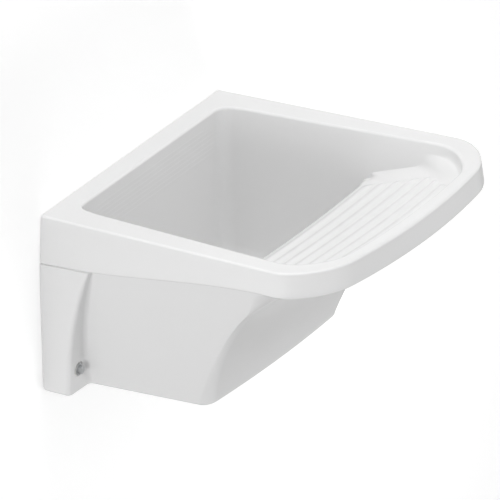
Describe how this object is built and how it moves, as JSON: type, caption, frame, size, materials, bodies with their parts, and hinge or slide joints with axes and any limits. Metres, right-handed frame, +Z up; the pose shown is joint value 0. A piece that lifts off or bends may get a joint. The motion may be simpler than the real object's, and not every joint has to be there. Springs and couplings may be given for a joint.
{
  "type": "wall-hung laundry and mop sink",
  "caption": "Wall-hung glazed ceramic sink with a deep bowl, a sloping ribbed washboard, wall hangers and a slotted waste with a lift-out plug.",
  "frame": {"origin": "on the wall plane, on the sink's centre line, 22 mm below the rim, halfway up the rear face of the rim", "axes": "+X to the right seen from the front, -Y out from the wall, +Z up"},
  "size_m": [0.6074, 0.585, 0.378],
  "materials": {
    "glazed_ceramic": "gloss",
    "zinc_plated_steel": "satin",
    "stainless_steel": "polished",
    "black_rubber": "matte",
    "white_nylon": "matte",
    "grey_nylon": "matte",
    "white_polypropylene": "satin"
  },
  "bodies": {
    "root": {"basin": "glazed_ceramic", "hanger_left": "zinc_plated_steel", "hanger_right": "zinc_plated_steel", "hanger_pads": "black_rubber", "hanger_screws": "zinc_plated_steel", "hanger_washers": "zinc_plated_steel", "hanger_plugs": "grey_nylon", "wing_bushes": "white_nylon", "wing_washers": "zinc_plated_steel", "wing_screws": "zinc_plated_steel", "wing_plugs": "grey_nylon", "strainer_flange": "stainless_steel", "flange_seal": "black_rubber", "body_seal": "black_rubber", "waste_body": "white_polypropylene", "waste_screw": "stainless_steel", "coupling_nut": "white_polypropylene", "coupling_seal": "black_rubber", "tailpiece": "white_polypropylene"},
    "stopper": {"stopper_disc": "stainless_steel", "stopper_seal": "black_rubber", "stopper_knob": "stainless_steel"}
  },
  "joints": [
    {"name": "stopper_lift", "type": "slide", "parent": "root", "child": "stopper", "axis": [0, 0, 1], "range_m": [0, 0.3]}
  ]
}
